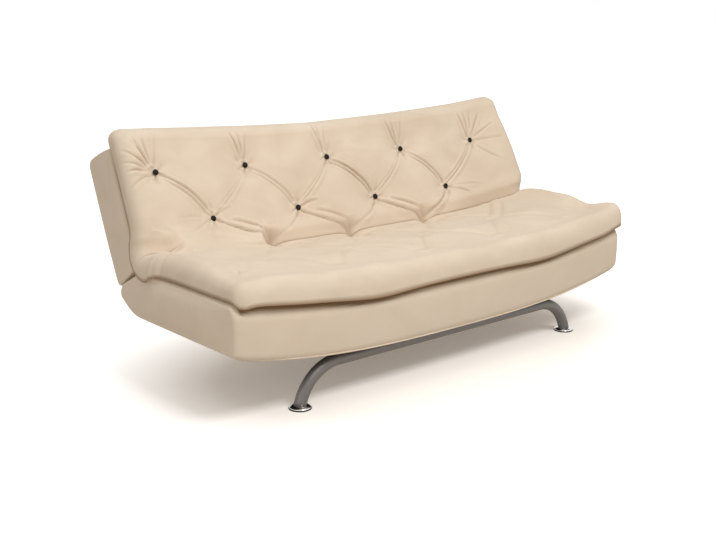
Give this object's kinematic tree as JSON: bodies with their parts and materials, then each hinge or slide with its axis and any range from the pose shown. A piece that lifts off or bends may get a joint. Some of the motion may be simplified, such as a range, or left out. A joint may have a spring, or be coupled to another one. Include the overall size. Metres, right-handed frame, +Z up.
{
  "type": "click clack sofa bed",
  "caption": "Boat shaped sofa bed whose back folds flat on two ratchet hinges, with a button tufted quilted pad and bent tube legs on round chrome feet.",
  "frame": {"origin": "on the floor, under the middle of the whole sofa with its back upright", "axes": "+X along the length to the right of someone who faces the sofa, -Y out of its front, +Z up"},
  "size_m": [1.91, 1.0088, 0.8766],
  "materials": {
    "fabric": "matte",
    "foam": "matte",
    "lining": "matte",
    "timber": "matte",
    "steel": "satin",
    "wire": "satin",
    "tube": "satin",
    "chrome": "polished",
    "glide": "matte",
    "button": "satin"
  },
  "bodies": {
    "seat": {"seat_cover": "fabric", "seat_foam": "foam", "seat_pad": "fabric", "seat_dust_cover": "lining", "seat_front_rail": "timber", "seat_rear_rail": "timber", "seat_centre_rail": "timber", "seat_left_end_rail": "timber", "seat_right_end_rail": "timber", "seat_left_cross_rail": "timber", "seat_right_cross_rail": "timber", "seat_left_hinge_arm": "steel", "seat_right_hinge_arm": "steel", "left_hinge_pin": "steel", "right_hinge_pin": "steel", "seat_spring_1": "wire", "seat_spring_2": "wire", "seat_spring_3": "wire", "seat_spring_4": "wire", "front_leg_tube": "tube", "front_left_foot": "chrome", "front_left_glide": "glide", "front_left_saddle": "steel", "front_right_foot": "chrome", "front_right_glide": "glide", "front_right_saddle": "steel", "rear_leg_tube": "tube", "rear_left_foot": "chrome", "rear_left_glide": "glide", "rear_left_saddle": "steel", "rear_right_foot": "chrome", "rear_right_glide": "glide", "rear_right_saddle": "steel"},
    "back": {"back_cover": "fabric", "back_foam": "foam", "back_pad": "fabric", "back_bottom_rail": "timber", "back_top_rail": "timber", "back_left_end_rail": "timber", "back_right_end_rail": "timber", "back_left_cross_rail": "timber", "back_right_cross_rail": "timber", "back_left_hinge_arm": "steel", "back_right_hinge_arm": "steel", "left_pawl_spring": "wire", "right_pawl_spring": "wire", "back_spring_1": "wire", "back_spring_2": "wire", "back_spring_3": "wire", "upper_button_1": "button", "upper_button_2": "button", "upper_button_3": "button", "upper_button_4": "button", "upper_button_5": "button", "lower_button_1": "button", "lower_button_2": "button", "lower_button_3": "button", "lower_button_4": "button"},
    "left_pawl": {"left_pawl": "steel"},
    "right_pawl": {"right_pawl": "steel"}
  },
  "joints": [
    {"name": "back_hinge", "type": "hinge", "parent": "seat", "child": "back", "pos_m": [0, 0.18904, 0.3], "axis": [-1, 0, 0], "range_deg": [-8, 67.7]},
    {"name": "left_pawl_pivot", "type": "hinge", "parent": "back", "child": "left_pawl", "pos_m": [-0.8145, 0.19169, 0.34863], "axis": [-1, 0, 0], "range_deg": [0, 10]},
    {"name": "right_pawl_pivot", "type": "hinge", "parent": "back", "child": "right_pawl", "pos_m": [0.8145, 0.19169, 0.34863], "axis": [-1, 0, 0], "range_deg": [0, 10]}
  ]
}
